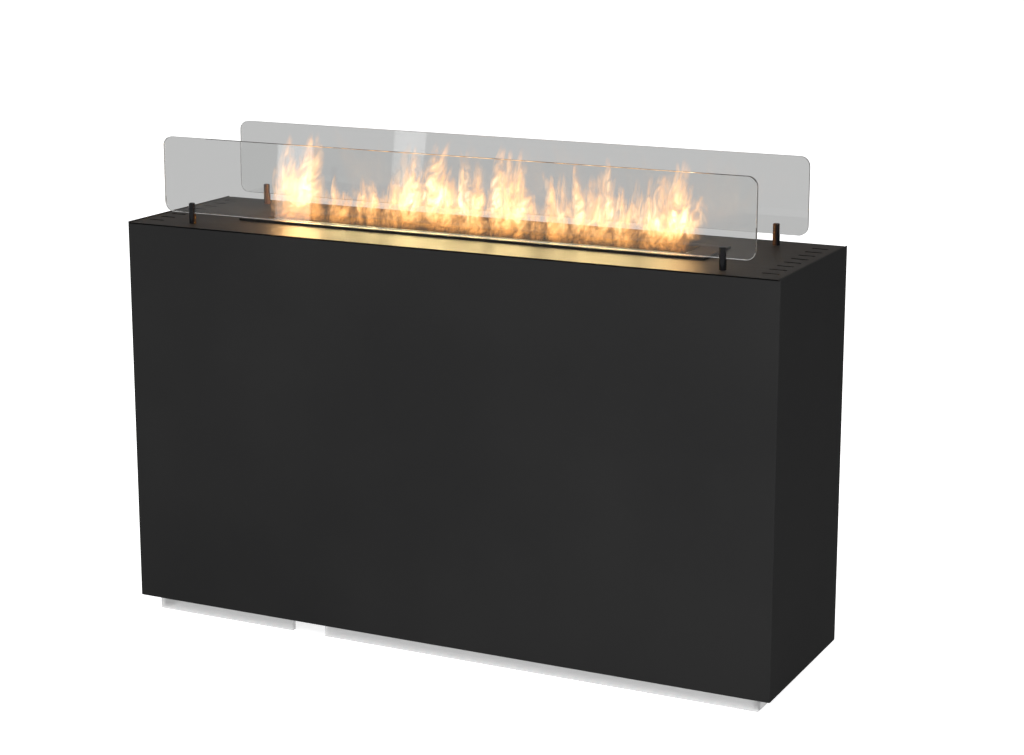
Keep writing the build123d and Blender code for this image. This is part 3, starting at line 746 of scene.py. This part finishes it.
def flame_finish(name, density, heat_gain):
    """A see-through glow on a blade's own map: u runs across it and v up it."""
    material = bpy.data.materials.new(name)
    material.use_nodes = True
    tree = material.node_tree
    tree.nodes.clear()
    map_of_blade = tree.nodes.new("ShaderNodeUVMap")
    map_of_blade.uv_map = "UVMap"
    along = tree.nodes.new("ShaderNodeSeparateXYZ")
    tree.links.new(map_of_blade.outputs[0], along.inputs[0])
    u, v = along.outputs[0], along.outputs[1]
    level = tree.nodes.new("ShaderNodeSeparateXYZ")
    tree.links.new(object_places(tree, (1.0, 1.0, 1.0)), level.inputs[0])
    off_centre = calculate(tree, "ABSOLUTE", calculate(tree, "MULTIPLY_ADD", u, 2.0, -1.0))
    body = calculate(tree, "SUBTRACT", 1.0, calculate(tree, "POWER", off_centre, 1.8))
    streaks = noise(tree, (130.0, 25.0, 9.0), detail=4.0, distortion=0.8)
    licks = noise(tree, (68.0, 12.0, 34.0), detail=3.0, distortion=1.5)
    ragged = calculate(tree, "MULTIPLY_ADD", calculate(tree, "SUBTRACT", streaks, 0.5), 1.7, body)
    solid = spread_over(tree, ragged, 0.05, 1.05, 0.0, 1.0, smooth=True)
    soft_edge = spread_over(tree, body, 0.0, 0.4, 0.0, 1.0, smooth=True)
    thinning = spread_over(tree, v, 0.3, 1.0, 1.0, 0.4)
    fine_tip = spread_over(tree, v, 0.86, 1.0, 1.0, 0.0, smooth=True)
    z = level.outputs["Z"]
    onset = spread_over(tree, z, plate_top - 0.005, plate_top + 0.007, 0.04, 1.0, smooth=True)
    rising = spread_over(tree, z, plate_top, plate_top + 0.045, 0.17, 1.0, smooth=True)
    calm = spread_over(tree, z, plate_top, plate_top + bed_height, 1.0, 0.0)
    mottles = noise(tree, (95.0, 20.0, 60.0), detail=2.0, distortion=2.5)
    mottles = spread_over(tree, mottles, 0.4, 0.6, -0.85, 0.4)
    foot = calculate(tree, "MULTIPLY", onset, rising)
    foot = calculate(tree, "MULTIPLY", foot, calculate(tree, "MULTIPLY_ADD", calm, mottles, 1.0))
    cloudy = spread_over(tree, licks, 0.38, 0.62, 0.25, 1.15)
    dense = calculate(tree, "MULTIPLY", calculate(tree, "MULTIPLY", solid, thinning), cloudy)
    dense = calculate(tree, "MULTIPLY", calculate(tree, "MULTIPLY", dense, foot), soft_edge)
    dense = calculate(tree, "MULTIPLY", dense, fine_tip)
    opacity = calculate(tree, "MINIMUM", calculate(tree, "MULTIPLY", dense, density), 1.0)
    cooling = spread_over(tree, v, 0.3, 0.95, heat_gain, 0.4 * heat_gain)
    low_down = spread_over(tree, z, plate_top, plate_top + bed_height, 0.2, 1.0)
    heat = calculate(tree, "MULTIPLY", calculate(tree, "MULTIPLY", dense, cooling), low_down)
    stops = [
        (0.0, (0.82, 0.31, 0.05)),
        (0.25, (0.94, 0.50, 0.19)),
        (0.5, (1.0, 0.67, 0.36)),
        (0.85, (1.0, 0.86, 0.70)),
    ]
    shining = tree.nodes.new("ShaderNodeMix")
    shining.data_type = "RGBA"
    length = spread_over(tree, level.outputs["X"], -0.36, 0.36, 0.0, 1.0)
    gilding = [
        (0.0, (1.0, 0.5, 0.17)),
        (0.13, (1.0, 0.77, 0.35)),
        (0.9, (1.0, 0.74, 0.33)),
        (1.0, (1.0, 0.55, 0.2)),
    ]
    tree.links.new(colours(tree, length, gilding), shining.inputs["B"])
    tree.links.new(colours(tree, heat, stops), shining.inputs["A"])
    eyes = ("Is Singular Ray", "Is Camera Ray", "Is Transmission Ray")
    tree.links.new(by_ray(tree, 1.0, dict.fromkeys(eyes, 0.0)), shining.inputs["Factor"])
    evened = [(0.19, 1.0), (0.43, 0.46), (0.71, 0.70), (0.86, 0.72), (0.96, 0.48)]
    even = colours(tree, length, [(place, (value, value, value)) for place, value in evened])
    raised = spread_over(tree, z, plate_top, plate_top + 0.11, 0.7, 1.9)
    cast = calculate(tree, "MULTIPLY", calculate(tree, "MULTIPLY", even, raised), flame_light)
    glow = tree.nodes.new("ShaderNodeEmission")
    tree.links.new(shining.outputs["Result"], glow.inputs["Color"])
    looks = dict(zip(eyes, (flame_mirrored, flame_seen, flame_seen)))
    tree.links.new(by_ray(tree, cast, looks), glow.inputs["Strength"])
    clear = tree.nodes.new("ShaderNodeBsdfTransparent")
    mixed = tree.nodes.new("ShaderNodeMixShader")
    tree.links.new(opacity, mixed.inputs["Fac"])
    tree.links.new(clear.outputs[0], mixed.inputs[1])
    tree.links.new(glow.outputs[0], mixed.inputs[2])
    out = tree.nodes.new("ShaderNodeOutputMaterial")
    tree.links.new(mixed.outputs[0], out.inputs["Surface"])
    return material


flame_veil = flame_finish("flame_veil", 0.18, 0.8)
flame_bed = flame_finish("flame_bed", 0.25, 1.0)
flame_heart = flame_finish("flame_heart", 0.28, 1.3)
print("finishes", flame_veil.name, flame_bed.name, flame_heart.name)

# %% [markdown]
# ## Placing the tongues
#
# The photograph shows tall fire near the left end, a low stretch, a tall crowd in the middle, a
# few thin spires and a broad leaning group at the right. Each main tongue is written down as
# where its foot stands, where its tip is, how high the tip is over the plate, and how wide it
# is. Some tips would stand higher than the glass, the top of the CAD model's box. They can't,
# so these tongues lean back instead, which lifts them in a picture taken from above. They still
# end a little lower than in the photograph. Each tongue gets two wide veils, two bodies and a
# narrower, hotter heart inside. Smaller blades fill the burner's whole length between them, and
# never reach over the tallest tongue near them. The random numbers have a fixed seed, so the
# fire is the same every time. The pull tab of the flame regulator slides through the mouth near
# its right end, so there the fire starts just above the tab. Up to just over the rim's top
# every blade stays between the mouth's two ends, so none cuts the rim.

# %% The list of tongues, in millimetres
ceiling = cad_box[1].z - 0.0015
main_tongues = [
    (-334, -334, 143, 34),
    (-322, -330, 100, 54),
    (-306, -290, 154, 40),
    (-302, -288, 154, 44),
    (-314, -308, 92, 62),
    (-346, -343, 80, 34),
    (-256, -252, 57, 26),
    (-240, -233, 56, 24),
    (-212, -198, 80, 32),
    (-188, -178, 80, 30),
    (-158, -144, 66, 28),
    (-142, -132, 92, 36),
    (-120, -104, 145, 42),
    (-110, -102, 110, 50),
    (-82, -72, 146, 36),
    (-66, -44, 154, 48),
    (-60, -50, 112, 52),
    (-38, -38, 88, 32),
    (-12, -18, 136, 36),
    (2, 4, 92, 44),
    (16, 16, 118, 32),
    (40, 47, 154, 46),
    (50, 52, 112, 52),
    (62, 67, 141, 28),
    (80, 85, 144, 36),
    (84, 88, 112, 44),
    (108, 102, 72, 20),
    (134, 122, 106, 34),
    (142, 134, 98, 32),
    (154, 149, 108, 36),
    (182, 173, 126, 30),
    (196, 206, 112, 32),
    (214, 214, 118, 26),
    (220, 228, 143, 18),
    (244, 250, 95, 30),
    (256, 263, 82, 26),
    (276, 280, 110, 20),
    (290, 298, 114, 24),
    (300, 320, 118, 42),
    (318, 346, 144, 46),
    (326, 353, 130, 40),
    (334, 366, 110, 40),
    (338, 378, 96, 36),
]


def reach_near(x):
    """How high, in millimetres over the plate, the fire may reach at x."""
    slopes = (
        min(top, 137) - 1.1 * abs(x - (foot + tip) / 2)
        for foot, tip, top, width in main_tongues
    )
    return max(42.0, *slopes)


print(len(main_tongues), "main tongues")

# %% Standing the blades in the mouth
chance = random.Random(7)
mm = 0.001
mouth_room = 0.026  # half the mouth's width, less a little room
regulator_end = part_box("flame_regulator")[1]
tab_sweep = regulator_end.x - 0.045  # left end of the tab's whole sweep, with some room
over_tab = regulator_end.z + 0.0015
mouth_end = 0.358  # half the mouth's length, less a little room
over_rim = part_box("burner_rim")[1].z + 0.014  # one row of faces above the rim


def stand_blade(model, foot, tip, top, width, turn, finish):
    """A copy of model from foot, (x, y), up to tip, (x, y), at a height, turned about its line."""
    blade = model.copy()
    blade.data = model.data.copy()
    blade.data.materials.append(finish)
    scene.collection.objects.link(blade)
    tall = top - foot_level
    bpy.ops.object.select_all(action="DESELECT")
    blade.select_set(True)
    bpy.context.view_layer.objects.active = blade
    twist = blade.modifiers.new("twist", "SIMPLE_DEFORM")
    twist.deform_method = "TWIST"
    twist.deform_axis = "Z"
    twist.angle = math.radians(chance.uniform(-45.0, 45.0))
    bpy.ops.object.modifier_apply(modifier=twist.name)
    blade.scale = (width * chance.choice((-1.0, 1.0)), width, tall)
    blade.rotation_euler = (0.0, 0.0, turn)
    bpy.ops.object.transform_apply(location=True, rotation=True, scale=True)
    low = [point.co.y for point in blade.data.vertices if point.co.z < 0.3 * tall]
    squeeze = min(1.0, 2 * mouth_room / (max(low) - min(low)))
    aside = squeeze * (max(low) + min(low)) / 2
    room = mouth_room - squeeze * (max(low) - min(low)) / 2
    foot_y = max(-room, min(room, foot[1])) - aside
    for point in blade.data.vertices:
        up = point.co.z / tall
        point.co.x += foot[0] + up * (tip[0] - foot[0])
        point.co.y = squeeze * point.co.y + foot_y + up ** 1.5 * (tip[1] - foot[1])
        point.co.z += foot_level
        if point.co.x > tab_sweep:
            point.co.z = max(point.co.z, over_tab)
        if point.co.z < over_rim:
            point.co.x = max(-mouth_end, min(mouth_end, point.co.x))
    return blade


standing = []
tall_tongue = 105  # millimetres; tongues taller than this lean back
tall_lean, lean_per_height = 0.026, 4.0  # lean of a tall tongue, and more for what is cut off
sideways = 0.49  # how far a point seems to move along X for each metre that it moves back
layers = [  # share of the height, share of the width, finish
    (1.0, 0.9, flame_veil),
    (0.97, 0.6, flame_bed),
    (0.88, 1.3, flame_veil),
    (0.76, 1.0, flame_bed),
    (0.64, 0.62, flame_heart),
]
for foot_x, tip_x, tip_height, width in main_tongues:
    top = min(plate_top + tip_height * mm, ceiling)
    y = chance.uniform(-0.008, 0.010)
    back = y + chance.uniform(-0.010, 0.018)
    if tip_height > tall_tongue:
        cut_off = max(0.0, plate_top + tip_height * mm - ceiling)
        back = y + tall_lean + lean_per_height * cut_off
    for k, (share, wide, finish) in enumerate(layers):
        model = blades[chance.randrange(len(blades))]
        level = foot_level + share * (top - foot_level)
        foot = (foot_x * mm + chance.uniform(-0.005, 0.005), y + 0.003 * (k - 2))
        leaned_x = (tip_x - foot_x) * mm - sideways * (back - y)
        tip_at = foot[0] + share * leaned_x + chance.uniform(-0.003, 0.003)
        turn = math.radians(chance.uniform(-40.0, 40.0))
        tip = (tip_at, foot[1] + share * (back - y))
        standing.append(stand_blade(model, foot, tip, level, wide * width * mm, turn, finish))

bed_blades, filling_blades = 110, 100
bed_start, bed_length = -0.350, 0.702
for k in range(bed_blades + filling_blades):
    filling = k >= bed_blades
    first, count = (bed_blades, filling_blades) if filling else (0, bed_blades)
    x = bed_start + bed_length * ((k - first + chance.random()) / count)
    y = chance.uniform(-0.016, 0.018)
    if filling:
        high = chance.uniform(0.45, 0.85) * reach_near(x / mm)
    else:
        high = chance.uniform(24.0, 50.0)
    model = blades[chance.randrange(len(blades))]
    turn = math.radians(chance.uniform(-45.0, 45.0))
    finish = flame_veil if filling else flame_heart if k % 5 == 0 else flame_bed
    tip = (x + chance.uniform(-0.012, 0.014), y + 0.006)
    wide = chance.uniform(0.020, 0.040)
    standing.append(stand_blade(model, (x, y), tip, plate_top + high * mm, wide, turn, finish))
print(len(standing), "blades standing")

# %% [markdown]
# ## Joining the fire
#
# A few hundred loose blades would be a nuisance to whoever takes the part up, so they are
# joined into three pieces: left, middle and right. A gentle displacement with a cloud texture
# bends all of them together, as one draught would. They ride on the burner.

# %% Join and ride
gust = bpy.data.textures.new("gust", "CLOUDS")
gust.noise_scale = 0.045
left_ends, middle_ends = -0.165, 0.11
groups = {"fire_left": [], "fire_middle": [], "fire_right": []}
for blade in standing:
    centre = sum(point.co.x for point in blade.data.vertices) / len(blade.data.vertices)
    side = "left" if centre < left_ends else "middle" if centre < middle_ends else "right"
    groups["fire_" + side].append(blade)
for name, members in groups.items():
    bpy.ops.object.select_all(action="DESELECT")
    for blade in members:
        blade.select_set(True)
    bpy.context.view_layer.objects.active = members[0]
    bpy.ops.object.join()
    fire = bpy.context.object
    fire.name = name
    fire.data.name = name
    for axis, strength in (("X", 0.012), ("Y", 0.006)):
        sway = fire.modifiers.new("sway", "DISPLACE")
        sway.texture = gust
        sway.texture_coords = "GLOBAL"
        sway.direction = axis
        sway.mid_level = 0.5
        sway.strength = strength
        bpy.ops.object.modifier_apply(modifier=sway.name)
    bpy.ops.object.shade_smooth()
    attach(fire, "burner")
    levels = sorted(point.co.z for point in fire.data.vertices)
    print(name, len(fire.data.polygons), f"faces, {levels[0]:.3f} to {levels[-1]:.3f} m high")

for model in blades:
    bpy.data.objects.remove(model)
scene.cycles.transparent_max_bounces = 96

# %% [markdown]
# ## The size, and the end
#
# The dressed model is to stay inside the CAD model's box, and the fire is kept below its top.
# The CAD model's box is printed.

# %% Size and finish
print("CAD box", [round(v, 4) for corner in cad_box for v in corner])
